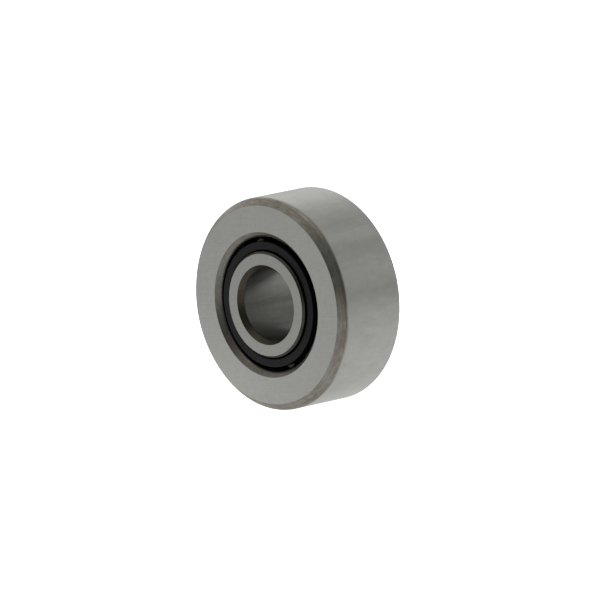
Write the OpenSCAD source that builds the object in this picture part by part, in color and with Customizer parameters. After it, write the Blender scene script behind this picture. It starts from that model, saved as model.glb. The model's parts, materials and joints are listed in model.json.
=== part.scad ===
// Cam follower: a yoke-type track roller. A thick outer ring turns on a caged set of needle
// rollers around an inner ring, which a pin clamps between the two ears of a yoke.
// The bearing's axis is Y, and the origin is the bearing's centre. Millimetres.

/* [Outer ring] */
// Diameter of the rolling surface
outer_d = 24; // [22:0.5:30]
// Width of the outer ring
outer_w = 9.8; // [9.4:0.1:12]
// Diameter of the raceway in its bore
outer_race_d = 15; // [14.6:0.2:16]
// 45 degree chamfer at both ends of the rolling surface
rim_chamfer = 0.8; // [0.2:0.1:1.2]
// Radial size of the lead-in chamfer at both ends of the raceway
mouth_radial = 0.68; // [0.2:0.02:1]
// Length of that lead-in chamfer along the axis
mouth_axial = 0.6; // [0.2:0.1:1]

/* [Inner ring] */
// Diameter of the hole for the yoke's pin
bore_d = 8; // [6:0.5:9]
// Width of the inner ring, which stands a little proud of the outer ring on each side
inner_w = 10; // [9.6:0.1:12.4]
// Diameter of the raceway on its outside
inner_race_d = 12; // [11.6:0.2:12.2]
// Radial size of the chamfer at both ends of the hole
bore_chamfer_radial = 0.5; // [0.1:0.1:0.7]
// Length of that chamfer along the axis
bore_chamfer_axial = 0.6; // [0.1:0.1:0.8]
// 45 degree chamfer at both ends of the raceway
inner_race_chamfer = 0.23; // [0.1:0.01:0.5]

/* [Needle rollers] */
// How many needle rollers
needle_count = 14; // [10:1:15]
// How far round from the top the first needle roller lies
needle_phase = 6; // [0:1:30]
// Length of a needle roller
needle_length = 6.8; // [4:0.2:7.2]
// Chamfer at both ends of a needle roller
needle_chamfer = 0.15; // [0.05:0.05:0.3]
// Radial gap between a needle roller and each raceway
needle_play = 0.015; // [0.01:0.005:0.03]

/* [Cage] */
// Inner diameter of the cage
cage_inner_d = 12.3; // [12.26:0.02:12.8]
// Outer diameter of the cage
cage_outer_d = 14.16; // [14.06:0.02:14.26]
// Width of the cage
cage_w = 9.2; // [8.8:0.1:9.3]
// Gap around a needle roller in its pocket
pocket_play = 0.06; // [0.03:0.01:0.08]
// Gap at each end of a needle roller in its pocket
pocket_end_play = 0.05; // [0.02:0.01:0.15]
// 45 degree chamfer along the edges of the cage's two rims
cage_chamfer = 0.08; // [0.02:0.02:0.1]

/* [Hidden] */
$fn = 128;
pitch_r = (inner_race_d + outer_race_d) / 4;
needle_r = (outer_race_d - inner_race_d) / 4 - needle_play;
pocket_r = needle_r + pocket_play;
pocket_length = needle_length + 2 * pocket_end_play;
turned_steel = [0.60, 0.60, 0.58];
ground_steel = [0.66, 0.66, 0.64];
polished_steel = [0.80, 0.80, 0.81];
black_plastic = [0.11, 0.11, 0.11];

function needle_name(i) = str("needle_roller_", i < 10 ? "0" : "", i);
function needle_angle(i) = needle_phase + 360 * (i - 1) / needle_count;

// Turns the shape's Z axis to the bearing's axis.
module along_bearing_axis() rotate([-90, 0, 0]) children();

// Places the children on the pitch circle, at needle roller number i.
module at_needle(i) rotate([0, needle_angle(i), 0]) translate([0, 0, pitch_r]) children();

// A ring with a chamfer at each end of its bore and of its outside, each as [radial, axial].
module chamfered_ring(r_in, r_out, width, inside, outside) {
    half = width / 2;
    one_end = [
        [r_in, half - inside[1]],
        [r_in + inside[0], half],
        [r_out - outside[0], half],
        [r_out, half - outside[1]],
    ];
    other_end = [for (k = [3 : -1 : 0]) [one_end[k][0], -one_end[k][1]]];
    along_bearing_axis() rotate_extrude() polygon(concat(one_end, other_end));
}

module outer_ring() {
    color(turned_steel)
        chamfered_ring(outer_race_d / 2, outer_d / 2, outer_w,
                       [mouth_radial, mouth_axial], [rim_chamfer, rim_chamfer]);
}

module inner_ring() {
    color(ground_steel)
        chamfered_ring(bore_d / 2, inner_race_d / 2, inner_w,
                       [bore_chamfer_radial, bore_chamfer_axial],
                       [inner_race_chamfer, inner_race_chamfer]);
}

// The pockets are wider than the cage is thick, so that each one opens inwards and outwards.
// Both openings are narrower than the needle roller, which snaps in and stays in.
module cage() {
    color(black_plastic)
        difference() {
            chamfered_ring(cage_inner_d / 2, cage_outer_d / 2, cage_w,
                           [cage_chamfer, cage_chamfer], [cage_chamfer, cage_chamfer]);
            for (i = [1 : needle_count])
                at_needle(i) along_bearing_axis()
                    cylinder(r = pocket_r, h = pocket_length, center = true);
        }
}

module needle_roller(i) {
    half = needle_length / 2;
    color(polished_steel)
        at_needle(i) along_bearing_axis() rotate_extrude()
            polygon([
                [0, -half],
                [needle_r - needle_chamfer, -half],
                [needle_r, needle_chamfer - half],
                [needle_r, half - needle_chamfer],
                [needle_r - needle_chamfer, half],
                [0, half],
            ]);
}

outer_ring();
inner_ring();
cage();
for (i = [1 : needle_count])
    needle_roller(i);
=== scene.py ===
"""Looks of the cam follower: ground, turned and polished bearing steel round a black plastic cage.

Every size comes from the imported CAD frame. The bearing's axis is Y, and the part stands on its rim.
"""

import json
import math

import bpy
from mathutils import Matrix, Vector

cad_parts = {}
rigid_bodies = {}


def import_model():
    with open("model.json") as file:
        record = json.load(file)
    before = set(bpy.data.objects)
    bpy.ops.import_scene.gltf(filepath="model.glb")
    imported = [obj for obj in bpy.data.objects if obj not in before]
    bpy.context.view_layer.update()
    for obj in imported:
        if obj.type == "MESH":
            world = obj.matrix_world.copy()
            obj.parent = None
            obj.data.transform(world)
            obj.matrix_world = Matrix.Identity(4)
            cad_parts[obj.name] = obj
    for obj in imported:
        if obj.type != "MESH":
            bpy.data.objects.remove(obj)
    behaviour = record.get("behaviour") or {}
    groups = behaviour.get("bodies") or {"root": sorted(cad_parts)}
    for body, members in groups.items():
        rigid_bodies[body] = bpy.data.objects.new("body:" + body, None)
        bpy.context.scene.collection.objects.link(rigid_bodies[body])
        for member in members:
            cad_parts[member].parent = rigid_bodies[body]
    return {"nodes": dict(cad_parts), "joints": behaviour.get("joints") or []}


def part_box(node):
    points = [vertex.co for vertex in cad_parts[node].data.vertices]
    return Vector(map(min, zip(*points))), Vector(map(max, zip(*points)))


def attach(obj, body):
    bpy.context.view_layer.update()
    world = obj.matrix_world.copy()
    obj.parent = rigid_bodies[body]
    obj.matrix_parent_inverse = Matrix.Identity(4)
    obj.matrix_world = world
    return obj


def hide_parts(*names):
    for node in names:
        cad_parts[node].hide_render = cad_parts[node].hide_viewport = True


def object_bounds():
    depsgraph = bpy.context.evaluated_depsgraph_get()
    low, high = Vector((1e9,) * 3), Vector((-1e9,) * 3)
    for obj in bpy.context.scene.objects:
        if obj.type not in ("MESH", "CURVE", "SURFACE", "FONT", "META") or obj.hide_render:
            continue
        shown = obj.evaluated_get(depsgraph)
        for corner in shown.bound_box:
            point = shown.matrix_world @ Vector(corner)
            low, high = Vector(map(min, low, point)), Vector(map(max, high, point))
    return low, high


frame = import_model()
cad_low, cad_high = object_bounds()

MM = 0.001
RING_STEPS = 288        # divisions round a ring
NEEDLE_STEPS = 48       # divisions round a needle roller
FILLET_STEPS = 8        # divisions across a rounded edge
SUPPORT = 0.02 * MM     # a narrow flat strip beside each rounded edge, which keeps the shading even
STRAIGHT = math.radians(5)     # a smaller bend than this is no corner


# ---------------------------------------------------------------- measures taken from the frame

def corners_of(node):
    """The corners of a ring's cross-section on its +Y side, as (radius, y), from bore to rim."""
    points = sorted({
        (round(math.hypot(vertex.co.x, vertex.co.z), 6), round(vertex.co.y, 6))
        for vertex in frame["nodes"][node].data.vertices
        if vertex.co.y > 0
    })

    def turns(before, here, after):
        first, second = Vector(here) - Vector(before), Vector(after) - Vector(here)
        return first.angle(second) > STRAIGHT

    inner = [three[1] for three in zip(points, points[1:], points[2:]) if turns(*three)]
    return [points[0], *inner, points[-1]]


def fit_in_box(corners):
    """The same corners with the rim's radius no larger than the CAD model's own box."""
    reach = min(cad_high.x, cad_high.z)
    return [(min(r, reach), y) for r, y in corners]


OUTER = fit_in_box(corners_of("outer_ring"))
INNER = corners_of("inner_ring")
RIM_R = OUTER[-1][0]
NEEDLES = {
    joint["child"]: Vector(joint["pos_m"])
    for joint in frame["joints"]
    if joint["parent"] == "cage"
}
PITCH_R = sum(centre.length for centre in NEEDLES.values()) / len(NEEDLES)


# ---------------------------------------------------------------- meshes

def full_circle(steps):
    """The angles that divide a circle into steps."""
    return [2 * math.pi * step / steps for step in range(steps)]


def quarter_circle(steps):
    """The angles that divide a quarter of a circle into steps, both its ends included."""
    return [math.pi / 2 * step / steps for step in range(steps + 1)]


def turned_point(r, y, angle):
    """The point at this radius and y, turned by an angle round the Y axis."""
    return (r * math.cos(angle), y, r * math.sin(angle))


def rounded_loop(corners):
    """A closed outline with every corner rounded, as a list of (radius, y, zone).

    Each corner is (radius, y, rounding, the zone of the side that follows it). Half of a rounded
    corner belongs to the side before it and half to the side after it.
    """
    points = []
    count = len(corners)
    for i, (r, y, rounding, zone_after) in enumerate(corners):
        here = Vector((r, y))
        before = (Vector(corners[i - 1][:2]) - here).normalized()
        after = (Vector(corners[(i + 1) % count][:2]) - here).normalized()
        half = before.angle(after) / 2
        reach = rounding / math.tan(half)
        centre = here + (before + after).normalized() * (rounding / math.sin(half))
        start, end = here + before * reach, here + after * reach
        zone_before = corners[i - 1][3]
        points.append((*(start + before * SUPPORT), zone_before))
        first = math.atan2(*(start - centre).yx)
        turn = (math.atan2(*(end - centre).yx) - first + math.pi) % (2 * math.pi) - math.pi
        for step in range(FILLET_STEPS + 1):
            angle = first + turn * step / FILLET_STEPS
            r_here = centre.x + rounding * math.cos(angle)
            y_here = centre.y + rounding * math.sin(angle)
            zone = zone_before if step < FILLET_STEPS / 2 else zone_after
            points.append((r_here, y_here, zone))
        points.append((*(end + after * SUPPORT), zone_after))
    return points


def ring_loop(half_corners, roundings, inside, outside):
    """The rounded outline of a ring, the same at both its ends.

    From the bore to the rim, its corners are those of the mouth's chamfer and of the edge's chamfer.
    """
    one_end = [(r, y, size * MM) for (r, y), size in zip(half_corners, roundings)]
    other_end = [(r, -y, rounding) for r, y, rounding in reversed(one_end)]
    zones = ("mouth", "face", "edge", outside, "edge", "face", "mouth", inside)
    return rounded_loop([(*corner, zone) for corner, zone in zip(one_end + other_end, zones)])


def mesh_object(name, verts, faces, zones, materials, sharp_deg=None):
    """An object from vertices and faces, smooth but for bends sharper than sharp_deg, if given.

    zones names each face's zone, and materials gives each zone's material.
    """
    mesh = bpy.data.meshes.new(name)
    mesh.from_pydata(verts, [], faces)
    for material in materials.values():
        mesh.materials.append(material)
    order = list(materials)
    mesh.polygons.foreach_set("material_index", [order.index(zone) for zone in zones])
    mesh.shade_smooth()
    if sharp_deg:
        mesh.set_sharp_from_angle(angle=math.radians(sharp_deg))
    mesh.validate()
    obj = bpy.data.objects.new(name, mesh)
    bpy.context.scene.collection.objects.link(obj)
    return obj


def turned_ring(name, loop, materials):
    """A ring turned from a closed outline round the Y axis."""
    count = len(loop)
    verts = [turned_point(r, y, angle) for angle in full_circle(RING_STEPS) for r, y, _ in loop]
    faces = []
    for step in range(RING_STEPS):
        here, there = step * count, (step + 1) % RING_STEPS * count
        for k in range(count):
            after = (k + 1) % count
            faces.append((here + k, there + k, there + after, here + after))
    zones = [zone for _, _, zone in loop] * RING_STEPS
    return mesh_object(name, verts, faces, zones, materials)


def turned_pin(name, outline, materials):
    """A solid pin turned round the Y axis from an outline that starts and ends on the axis."""
    inner = outline[1:-1]
    count = len(inner)
    at_end = count // 2 - 1
    on_barrel = count + 1 - 2 * at_end
    verts = [(0, outline[0][1], 0), (0, outline[-1][1], 0)]
    verts += [turned_point(r, y, angle) for angle in full_circle(NEEDLE_STEPS) for r, y in inner]
    faces = []
    for step in range(NEEDLE_STEPS):
        here, there = 2 + step * count, 2 + (step + 1) % NEEDLE_STEPS * count
        faces.append((0, there, here))
        faces += [(here + k, there + k, there + k + 1, here + k + 1) for k in range(count - 1)]
        faces.append((here + count - 1, there + count - 1, 1))
    zones = ["end"] * at_end + ["barrel"] * on_barrel + ["end"] * at_end
    return mesh_object(name, verts, faces, zones * NEEDLE_STEPS, materials)


# ---------------------------------------------------------------- material building blocks

class Tree:
    """A short way to write the nodes of a material or of the world, which is its owner."""

    def __init__(self, owner, shader="Principled BSDF"):
        owner.use_nodes = True
        self.owner = owner
        self.tree = owner.node_tree
        self.shader = self.tree.nodes[shader]

    def add(self, kind, settings=None, **inputs):
        """A new node. settings are its own, and inputs hold a value or another node's output."""
        node = self.tree.nodes.new("ShaderNode" + kind)
        for key, value in (settings or {}).items():
            setattr(node, key, value)
        for key, value in inputs.items():
            self.feed(node, key, value)
        return node

    def feed(self, node, key, value):
        """Sets or links one input, given by its name or its number."""
        socket = node.inputs[key]
        if isinstance(value, bpy.types.NodeSocket):
            self.tree.links.new(value, socket)
        else:
            socket.default_value = value

    def math(self, operation, a, b):
        node = self.add("Math", {"operation": operation})
        self.feed(node, 0, a)
        self.feed(node, 1, b)
        return node.outputs[0]

    def weighted(self, *terms):
        """The sum of values times their weights, given as pairs."""
        total = 0.0
        for term in terms:
            node = self.add("Math", {"operation": "MULTIPLY_ADD"})
            for key, value in enumerate((*term, total)):
                self.feed(node, key, value)
            total = node.outputs[0]
        return total

    def vector(self, operation, a, b=(0, 0, 0)):
        node = self.add("VectorMath", {"operation": operation})
        self.feed(node, 0, a)
        self.feed(node, 1, b)
        gives_number = operation in ("LENGTH", "DOT_PRODUCT", "DISTANCE")
        return node.outputs["Value" if gives_number else "Vector"]

    def noise(self, vector, detail, scale=1.0, roughness=0.5, seed=0.0):
        node = self.add("TexNoise", {"noise_dimensions": "4D"}, Vector=vector, W=seed, Scale=scale)
        node.inputs["Detail"].default_value = detail
        node.inputs["Roughness"].default_value = roughness
        return node.outputs["Fac"]

    def remap(self, value, low, high, start=0.25, end=0.75):
        """value from start to end becomes low to high, and is held there beyond them.

        Most of a noise lies between the start and end that are used when none are given.
        """
        node = self.add("MapRange", Value=value)
        for key, number in zip(("From Min", "From Max", "To Min", "To Max"), (start, end, low, high)):
            node.inputs[key].default_value = number
        return node.outputs["Result"]

    def fade(self, value, low, high, start, end):
        """The same as remap, but it sets off and arrives gently."""
        result = self.remap(value, low, high, start, end)
        result.node.interpolation_type = "SMOOTHSTEP"
        return result

    def blend(self, amount, a, b):
        """Colour a where amount is 0, colour b where it is 1."""
        node = self.add("Mix", {"data_type": "RGBA"})
        self.feed(node, 0, amount)
        self.feed(node, 6, a if isinstance(a, bpy.types.NodeSocket) else (*a, 1))
        self.feed(node, 7, b if isinstance(b, bpy.types.NodeSocket) else (*b, 1))
        return node.outputs[2]

    def place(self):
        """The point on the object, in millimetres."""
        return self.vector("MULTIPLY", self.add("TexCoord").outputs["Object"], (1 / MM,) * 3)

    def around(self, place, turns, along_y=0.0, along_r=0.0):
        """A vector that changes slowly round the Y axis and fast across it: the lay of turned metal."""
        flat = self.vector("MULTIPLY", place, (1, 0, 1))
        radius = self.vector("LENGTH", flat)
        direction = self.vector("MULTIPLY", self.vector("NORMALIZE", flat), (turns, 0, turns))
        y = self.add("SeparateXYZ", Vector=place).outputs["Y"]
        across = self.weighted((y, along_y), (radius, along_r))
        return self.vector("ADD", direction, self.add("CombineXYZ", Y=across).outputs[0])

    def bump(self, height, depth_um):
        """A surface normal for a relief that is depth_um micrometres deep."""
        node = self.add("Bump", Height=height, Strength=1.0, Distance=depth_um * MM / 1000)
        return node.outputs["Normal"]


QUARTER_TURN = 0.25     # turns the stretched highlights of ground steel across its scratches
LAY = math.radians(9)   # how far the scratches on the side faces lean from level

# Bare steel by its finish, and the pairs of colours that heat scale and plastic vary between.
# The bore's steel, the scale on the inner ring's chamfers and on the needle ends are made darker as
# painted shade.
GROUND = (0.47, 0.475, 0.445)
GROUND_INNER = (0.405, 0.41, 0.385)
HONED = (0.20, 0.203, 0.19)
# painted shade: the bore's honed steel is made darker for the shade inside the bore
BORE_STEEL_AND_SHADE = (0.207, 0.212, 0.194)
LAPPED = (0.62, 0.62, 0.61)
SCALE_ON_CHAMFER = ((0.205, 0.180, 0.146), (0.355, 0.342, 0.307))
SCALE_ON_MOUTH = ((0.195, 0.171, 0.142), (0.27, 0.257, 0.231))
# heat scale, made darker as painted shade at the mouth of the bore
BORE_CHAMFER_SCALE_AND_SHADE = ((0.062, 0.052, 0.039), (0.092, 0.081, 0.065))
# heat scale, made darker as painted shade where the inner ring's edge meets the gap by the cage
INNER_EDGE_SCALE_AND_SHADE = ((0.06, 0.054, 0.047), (0.105, 0.10, 0.091))
# painted shade: the needle ends, deep in the gap between the cage and the rings, are made dark so that
# they glint only faintly
NEEDLE_END_PAINTED_SHADE = ((0.05, 0.045, 0.04), (0.10, 0.095, 0.09))
NYLON = ((0.002, 0.002, 0.0023), (0.005, 0.005, 0.0055))

# Seeds of the marks on the outer ring, the painted highlight streaks on its chamfer among them: of a
# few tried, the ones nearest to the photograph
CHAMFER_SEED = 4.0
RIM_EDGE_SEED = 2.0
# Where the unground band along the rim's front edge starts and is full, in mm beyond that edge
UNGROUND = (-0.3, 0.2)


def steel(name, colour, roughness, anisotropy=0.0):
    """A bare steel with its constant values on the shader itself."""
    tree = Tree(bpy.data.materials.new(name))
    tree.shader.inputs["Base Color"].default_value = (*colour, 1)
    tree.shader.inputs["Metallic"].default_value = 1.0
    tree.shader.inputs["Roughness"].default_value = roughness
    tree.shader.inputs["Anisotropic"].default_value = anisotropy
    tree.shader.inputs["Anisotropic Rotation"].default_value = QUARTER_TURN
    return tree


def tint(colour, amount):
    """The colour made lighter or darker by a factor."""
    return tuple(channel * amount for channel in colour)


def ground_face(name, colour):
    """A side face ground flat: fine, nearly straight scratches that all run one way."""
    tree = steel(name, colour, 0.34)
    place = tree.place()
    lay = tree.add("Mapping", Vector=place, Rotation=(0, LAY, 0)).outputs[0]
    lines = tree.noise(tree.vector("MULTIPLY", lay, (0.25, 1, 7)), detail=3)
    cloud = tree.noise(place, scale=0.5, detail=3)
    grain = tree.noise(place, scale=2.4, detail=4, roughness=0.7)
    shade = tree.weighted((lines, 0.35), (cloud, 0.25), (grain, 0.4))
    mottle = tree.blend(tree.remap(shade, 0, 1, 0.38, 0.62), tint(colour, 0.9), tint(colour, 1.08))
    dullness = tree.math("ADD", tree.remap(lines, -0.03, 0.03), tree.remap(cloud, 0.31, 0.37))
    tree.feed(tree.shader, "Base Color", mottle)
    tree.feed(tree.shader, "Roughness", dullness)
    tree.feed(tree.shader, "Normal", tree.bump(tree.weighted((lines, 1), (grain, 0.4)), 3))
    return tree.owner


def ground_round(name, colour, roughness, drawn=0.4, uneven=0.09, unground=None):
    """A rim, raceway or bore ground while it turns: the scratches run round it.

    drawn is how much its cloudy shading is drawn out along the axis: 1 is not at all.
    uneven is how much lighter and darker that shading is. unground is (colour, start, end): the
    colour left by the front edge, which starts and is full that far from the middle, in mm.
    """
    tree = steel(name, colour, roughness, 0.55)
    place = tree.place()
    lines = tree.noise(tree.around(place, 1.5, along_y=12), detail=3)
    cloud = tree.noise(tree.around(place, 2.5, along_y=0.12), detail=2)
    drawn_out = tree.vector("MULTIPLY", place, (1, drawn, 1))
    mottle = tree.noise(drawn_out, scale=1.3, detail=5, roughness=0.7)
    shade = tree.weighted((lines, 0.25), (mottle, 0.75))
    darker, lighter = tint(colour, 1 - uneven), tint(colour, 1 + uneven)
    worn = tree.blend(tree.remap(shade, 0, 1, 0.35, 0.65), darker, lighter)
    if unground:
        left, start, end = unground
        to_front = tree.math("MULTIPLY", tree.add("SeparateXYZ", Vector=place).outputs["Y"], -1)
        frayed = tree.math("ADD", to_front, tree.remap(shade, -0.1, 0.1, 0.35, 0.65))
        reach = tree.noise(tree.around(place, 1.1), detail=1, seed=RIM_EDGE_SEED)
        frayed = tree.math("ADD", frayed, tree.remap(reach, -0.35, 0.3, 0.38, 0.62))
        worn = tree.blend(tree.remap(frayed, 0, 1, start, end), worn, left)
    tree.feed(tree.shader, "Base Color", worn)
    tree.feed(tree.shader, "Roughness", tree.remap(cloud, roughness - 0.03, roughness + 0.03))
    tree.feed(tree.shader, "Normal", tree.bump(lines, 0.5))
    tangent = tree.add("Tangent", {"direction_type": "RADIAL", "axis": "Y"})
    tree.feed(tree.shader, "Tangent", tangent.outputs[0])
    return tree.owner


def turned_scale(name, colours, seed=0.0):
    """A surface left as it was turned before hardening: fine grooves under a thin brown heat scale.

    Here and there a lighter streak along a groove is a painted highlight, coloured like bare steel
    where the scale is gone.
    """
    brown, grey = colours
    tree = steel(name, grey, 0.42)
    place = tree.place()
    grooves = tree.noise(tree.around(place, 1.5, along_r=7), detail=3)
    patches = tree.noise(tree.around(place, 2, along_y=0.3), detail=2, seed=seed)
    speckled = tree.around(place, 14, along_y=0.5, along_r=4)
    grain = tree.noise(speckled, detail=4, roughness=0.65, seed=seed)
    shade = tree.weighted((patches, 0.35), (grooves, 0.25), (grain, 0.4))
    scale = tree.blend(tree.remap(shade, 0, 1, 0.4, 0.6), brown, grey)
    # painted highlight: lighter streaks along the grooves, tinted like bare steel
    highlight_flake_noise = tree.noise(tree.around(place, 3, along_y=0.5, along_r=3), detail=2, seed=seed)
    highlight_flake_band, coarse = tree.remap(highlight_flake_noise, 0, 1, 0.61, 0.75), tree.remap(grain, 0, 1, 0.4, 0.6)
    bare = tree.math("MULTIPLY", highlight_flake_band, coarse)
    tree.feed(tree.shader, "Base Color", tree.blend(bare, scale, tint(grey, 1.3)))
    tree.feed(tree.shader, "Roughness", tree.remap(shade, 0.46, 0.38))
    tree.feed(tree.shader, "Normal", tree.bump(tree.weighted((grooves, 1), (grain, 0.7)), 8))
    return tree.owner


def polished_pin(name):
    """A lapped needle roller."""
    tree = steel(name, LAPPED, 0.1, 0.3)
    place = tree.place()
    lines = tree.noise(tree.around(place, 1.0, along_y=10), detail=2)
    tree.feed(tree.shader, "Roughness", tree.remap(lines, 0.09, 0.14))
    tree.feed(tree.shader, "Normal", tree.bump(lines, 0.3))
    return tree.owner


def moulded_plastic(name):
    """Black glass-filled nylon, satin, with the fine spark-eroded grain of its mould."""
    tree = Tree(bpy.data.materials.new(name))
    place = tree.place()
    grain = tree.noise(place, scale=9, detail=3)
    cloud = tree.noise(place, scale=0.8, detail=2)
    tree.shader.inputs["Specular IOR Level"].default_value = 0.3
    tree.feed(tree.shader, "Base Color", tree.blend(cloud, *NYLON))
    tree.feed(tree.shader, "Roughness", tree.remap(grain, 0.45, 0.55))
    tree.feed(tree.shader, "Normal", tree.bump(grain, 6))
    return tree.owner


# ---------------------------------------------------------------- the pieces

# Roundings of a ring's corners in mm: the two of its mouth's chamfer, then the two of its edge's
OUTER_ROUNDINGS = (0.9, 0.08, 0.06, 0.7)
INNER_ROUNDINGS = (0.2, 0.06, 0.04, 0.06)
NEEDLE_ROUNDING = 0.15 * MM
CAGE_ROUNDING = 0.08 * MM
CAGE_ROUNDING_STEPS = 4
CAGE_RIM = 0.5 * MM         # the cage's vertices farther than this from its end faces are its pockets'
CAGE_CREASE = 40            # a sharper bend than this stays sharp, in degrees
POCKET_COLUMNS, BAR_COLUMNS, WALL_ROWS = 8, 10, 8     # how finely the cage is divided


def build_outer_ring():
    rim_edge = OUTER[-1][1] / MM
    unground = (SCALE_ON_CHAMFER[0], *(rim_edge + past for past in UNGROUND))
    materials = {
        "face": ground_face("outer_ring_ground_face", GROUND),
        "rim": ground_round("outer_ring_ground_rim", GROUND, 0.30, unground=unground),
        "edge": turned_scale("outer_ring_turned_chamfer", SCALE_ON_CHAMFER, CHAMFER_SEED),
        "mouth": turned_scale("outer_ring_turned_mouth", SCALE_ON_MOUTH),
        "race": ground_round("outer_ring_raceway", HONED, 0.2),
    }
    loop = ring_loop(OUTER, OUTER_ROUNDINGS, "race", "rim")
    ring = turned_ring("outer_ring_body", loop, materials)
    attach(ring, "outer_race")
    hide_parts("outer_ring")


def build_inner_ring():
    materials = {
        "face": ground_face("inner_ring_ground_face", GROUND_INNER),
        "race": ground_round("inner_ring_raceway", HONED, 0.14),
        # heat scale with painted shade: its edge is darkened for the shade beside the cage
        "edge": turned_scale("inner_ring_edge_scale_and_shade", INNER_EDGE_SCALE_AND_SHADE),
        # heat scale with painted shade: the bore's chamfer is darkened for the shade at the bore's
        # mouth
        "mouth": turned_scale("inner_ring_bore_chamfer_scale_and_shade", BORE_CHAMFER_SCALE_AND_SHADE),
        # painted shade: the bore's dark steel colour stands for the shade inside it
        "bore": ground_round("inner_ring_bore_painted_shade", BORE_STEEL_AND_SHADE, 0.34, drawn=0.15, uneven=0.2),
    }
    loop = ring_loop(INNER, INNER_ROUNDINGS, "bore", "race")
    ring = turned_ring("inner_ring_body", loop, materials)
    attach(ring, "inner_race")
    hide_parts("inner_ring")


def needle_outline(radius, half):
    """A needle roller's outline with rounded ends, from the middle of one end to that of the other."""
    corner = NEEDLE_ROUNDING
    centre_r, centre_y = radius - corner, half - corner
    end = [
        (centre_r + corner * math.sin(angle), centre_y + corner * math.cos(angle))
        for angle in quarter_circle(FILLET_STEPS)
    ]
    upper = [(0, half)] + end + [(radius, centre_y - corner)]
    return [(r, -y) for r, y in upper] + upper[::-1]


def build_needles():
    materials = {
        "barrel": polished_pin("needle_lapped_steel"),
        # painted shade: a dark colour on the needle ends for the shade in the gap they sit in
        "end": turned_scale("needle_end_painted_shade", NEEDLE_END_PAINTED_SHADE),
    }
    for node, centre in NEEDLES.items():
        low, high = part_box(node)
        outline = needle_outline((high.z - low.z) / 2, (high.y - low.y) / 2)
        pin = turned_pin(node + "_body", outline, materials)
        pin.location = centre
        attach(pin, node)
        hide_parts(node)


class CageMesh:
    """The cage's measures and its mesh: two rims joined by bars, with a pocket between two bars.

    Columns run round the ring. A column over a pocket has a fixed share of the pocket's width at
    every radius, and so has a column over a bar, so the same columns serve both rims and the bars.
    A column is (pocket number, share), and its share runs from -1 to 1 over the pocket and from 1
    to 3 over the bar that follows it.
    """

    def __init__(self):
        points = [vertex.co for vertex in frame["nodes"]["cage"].data.vertices]
        radii = [math.hypot(point.x, point.z) for point in points]
        self.r_in, self.r_out = min(radii), max(radii)
        self.half = max(point.y for point in points)
        walls = [point for point in points if abs(point.y) < self.half - CAGE_RIM]
        self.pocket_half = max(point.y for point in walls)
        self.pocket_r = max(self.to_needle(point) for point in walls)
        self.angles = sorted(math.atan2(centre.z, centre.x) for centre in NEEDLES.values())
        self.columns = []
        for k in range(len(self.angles)):
            self.columns += [(k, -1 + 2 * step / POCKET_COLUMNS) for step in range(POCKET_COLUMNS)]
            self.columns += [(k, 1 + 2 * step / BAR_COLUMNS) for step in range(BAR_COLUMNS)]
        self.verts, self.faces, self.index = [], [], {}

    @staticmethod
    def to_needle(point):
        """How far a point is from the nearest needle roller's axis."""
        return min(math.hypot(point.x - centre.x, point.z - centre.z) for centre in NEEDLES.values())

    def wall_angle(self, r):
        """How far round from a pocket's middle its wall lies, at radius r."""
        return math.acos((PITCH_R**2 + r**2 - self.pocket_r**2) / (2 * PITCH_R * r))

    def angle(self, column, r):
        """Where a column lies round the ring, at radius r."""
        k, share = self.columns[column]
        count = len(self.angles)
        wall = self.wall_angle(r)
        if share <= 1:
            return self.angles[k] + wall * share
        following = self.angles[(k + 1) % count] + (2 * math.pi if k + 1 == count else 0)
        start, end = self.angles[k] + wall, following - wall
        return start + (end - start) * (share - 1) / 2

    def vertex(self, column, r, y):
        """The number of the vertex on a column at this radius and y, made when first asked for."""
        key = (column % len(self.columns), round(r, 8), round(y, 8))
        if key not in self.index:
            self.index[key] = len(self.verts)
            self.verts.append(turned_point(r, y, self.angle(key[0], r)))
        return self.index[key]

    def face(self, corners, flip):
        """A face between corners given as (column, radius, y)."""
        face = [self.vertex(*corner) for corner in corners]
        self.faces.append(face[::-1] if flip else face)

    def strip(self, column, start, end, flip):
        """A face from a column to the next one, between two points given as (radius, y)."""
        after = column + 1
        self.face([(column, *start), (column, *end), (after, *end), (after, *start)], flip)

    def rim_outline(self):
        """A rim's outline, from the pocket's end over the outside and the end face to the inside."""
        size = CAGE_ROUNDING
        out_c, in_c, top = self.r_out - size, self.r_in + size, self.half - size
        arc = quarter_circle(CAGE_ROUNDING_STEPS)
        outside = [(self.r_out, self.pocket_half), (self.r_out, top - size)]
        outside += [(out_c + size * math.cos(angle), top + size * math.sin(angle)) for angle in arc]
        middle = [(out_c - size, self.half), (in_c + size, self.half)]
        inside = [(in_c - size * math.sin(angle), top + size * math.cos(angle)) for angle in arc]
        inside += [(self.r_in, top - size), (self.r_in, self.pocket_half)]
        return outside + middle + inside

    def add_rim(self, side, steps_in):
        """The rim at +Y or -Y, with the end walls of its pockets."""
        outline = [(r, side * y) for r, y in self.rim_outline()]
        flip = side < 0
        wall_y = side * self.pocket_half
        for column, (_, share) in enumerate(self.columns):
            for start, end in zip(outline, outline[1:]):
                self.strip(column, start, end, flip)
            if share < 1:
                for outer, inner in steps_in:
                    self.strip(column, (inner, wall_y), (outer, wall_y), flip)

    def add_bars(self, steps_in):
        """The bars between the pockets: their outsides, their insides and the side walls."""
        front, back = -self.pocket_half, self.pocket_half
        for column, (_, share) in enumerate(self.columns):
            if share >= 1:
                self.strip(column, (self.r_out, front), (self.r_out, back), False)
                self.strip(column, (self.r_in, front), (self.r_in, back), True)
            if share in (1, -1):
                for outer, inner in steps_in:
                    wall = ((outer, front), (outer, back), (inner, back), (inner, front))
                    self.face([(column, *corner) for corner in wall], share == 1)


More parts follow.
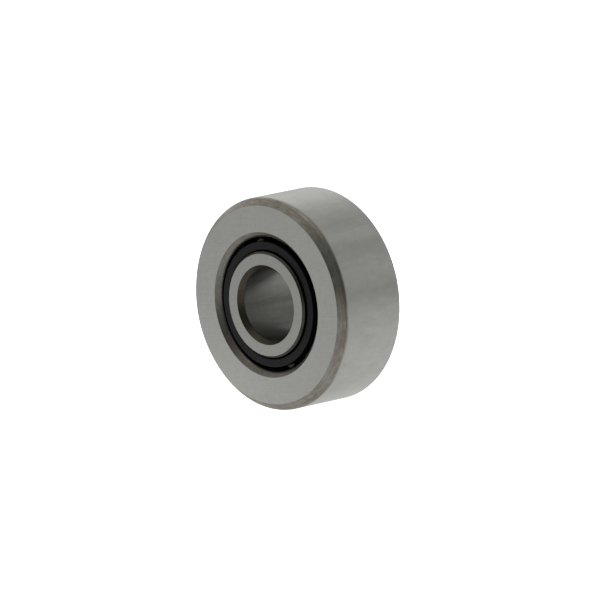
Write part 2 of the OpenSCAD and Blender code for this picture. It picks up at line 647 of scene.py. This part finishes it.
def build_cage():
    shape = CageMesh()
    depth = shape.r_in - shape.r_out
    span = [shape.r_out + depth * row / WALL_ROWS for row in range(WALL_ROWS + 1)]
    steps_in = list(zip(span, span[1:]))
    shape.add_rim(1, steps_in)
    shape.add_rim(-1, steps_in)
    shape.add_bars(steps_in)
    materials = {"moulded": moulded_plastic("cage_black_plastic")}
    zones = ["moulded"] * len(shape.faces)
    cage = mesh_object("cage_body", shape.verts, shape.faces, zones, materials, CAGE_CREASE)
    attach(cage, "cage")
    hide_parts("cage")


# ---------------------------------------------------------------- studio

VIEW = (45.2, 12.3)          # the camera's azimuth and elevation
CAMERA_AWAY = 45             # how far off it is, in the ring's diameters
FRAME_WIDTH = 2.788          # how wide the picture is, in diameters
AIM = (0.0124, -0.0079)      # where the picture's middle lies from the ring's, in diameters
ROOM = 0.12                  # the studio walls' own brightness
FLOOR_RADIUS = 4.0           # in metres
FLOOR_STEPS = 96
FLOOR_COLOUR = (0.25, 0.25, 0.25)
FLOOR_GLOW = 0.48            # what the floor itself gives off
FLOOR_SEEN = 0.6             # and how much brighter it looks to the camera
# A pool of light on the floor, then a dim patch: azimuth, distance and radius in m, brightness
POOLS = ((225, 0.06, 0.09, 0.85), (134, 0.25, 0.16, -0.14))
# Soft lights on the walls, then dim patches: name, azimuth, elevation, half-angle, brightness
SOFT_LIGHTS = (
    ("back_wall", 225, 40, 85, 0.46),
    ("left_sheet", 255, 30, 45, 0.48),
    ("right_sheet", 135, 5, 45, 0.41),
    ("overhead", 350, 75, 35, 0.52),
    ("window", 163, 44, 8, 0.25),
    ("dark_card", 182, 46, 13, -0.12),
    ("dark_edge", 134, 6, 9, -0.2),
)


def direction(azimuth, elevation):
    """A unit vector. Azimuth 0 is -Y, 90 is +X, as for the camera; elevation is above the horizon."""
    a, e = math.radians(azimuth), math.radians(elevation)
    return Vector((math.sin(a) * math.cos(e), -math.cos(a) * math.cos(e), math.sin(e)))


def lit_floor():
    """A glowing floor, which looks nearly white and gives the metal a greyer reflection."""
    tree = Tree(bpy.data.materials.new("studio_floor"))
    tree.shader.inputs["Base Color"].default_value = (*FLOOR_COLOUR, 1)
    tree.shader.inputs["Roughness"].default_value = 0.9
    tree.shader.inputs["Specular IOR Level"].default_value = 0.0
    tree.shader.inputs["Emission Color"].default_value = (1, 1, 1, 1)
    seen = tree.math("MULTIPLY", tree.add("LightPath").outputs["Is Camera Ray"], FLOOR_SEEN)
    glow = FLOOR_GLOW
    here = tree.add("TexCoord").outputs["Object"]
    for azimuth, away, edge, brightness in POOLS:
        distance = tree.vector("DISTANCE", here, direction(azimuth, 0) * away)
        glow = tree.math("ADD", tree.fade(distance, brightness, 0, 0, edge), glow)
    tree.feed(tree.shader, "Emission Strength", tree.math("ADD", seen, glow))
    return tree.owner


def build_floor():
    """A round floor that the part stands on."""
    rim = [
        (FLOOR_RADIUS * math.cos(angle), FLOOR_RADIUS * math.sin(angle), 0)
        for angle in full_circle(FLOOR_STEPS)
    ]
    faces = [(0, 1 + step, 1 + (step + 1) % FLOOR_STEPS) for step in range(FLOOR_STEPS)]
    zones = ["floor"] * len(faces)
    floor = mesh_object("studio_floor", [(0, 0, 0), *rim], faces, zones, {"floor": lit_floor()})
    floor.location = (0, 0, cad_low.z)


def build_world():
    """Dim studio walls with soft lights and dim patches, each fading from its middle to its edge.

    The camera itself sees plain white behind the part.
    """
    world = bpy.data.worlds.new("studio")
    bpy.context.scene.world = world
    tree = Tree(world, "Background")
    ray = tree.add("TexCoord").outputs["Generated"]
    level = ROOM
    for name, azimuth, elevation, edge, brightness in SOFT_LIGHTS:
        toward = tree.vector("DOT_PRODUCT", ray, direction(azimuth, elevation))
        light = tree.fade(toward, 0, brightness, math.cos(math.radians(edge)), 1)
        light.node.label = name
        level = tree.math("ADD", light, level)
    level = tree.math("MAXIMUM", level, tree.add("LightPath").outputs["Is Camera Ray"])
    tree.shader.inputs["Color"].default_value = (1, 1, 1, 1)
    tree.feed(tree.shader, "Strength", level)


def build_camera():
    """A long lens, so that the view is close to parallel, with the part a little left of the middle."""
    diameter = 2 * RIM_R
    distance = CAMERA_AWAY * diameter
    data = bpy.data.cameras.new("camera")
    data.lens = data.sensor_width * CAMERA_AWAY / FRAME_WIDTH
    data.clip_start, data.clip_end = distance / 10, distance * 20
    camera = bpy.data.objects.new("camera", data)
    bpy.context.scene.collection.objects.link(camera)
    back = direction(*VIEW)
    turn = back.to_track_quat("Z", "Y").to_matrix()
    aim = turn @ Vector((*AIM, 0)) * diameter
    camera.matrix_world = Matrix.Translation(aim + back * distance) @ turn.to_4x4()
    bpy.context.scene.camera = camera


build_outer_ring()
build_inner_ring()
build_cage()
build_needles()
build_floor()
build_world()
build_camera()
bpy.context.scene.view_settings.view_transform = "Standard"
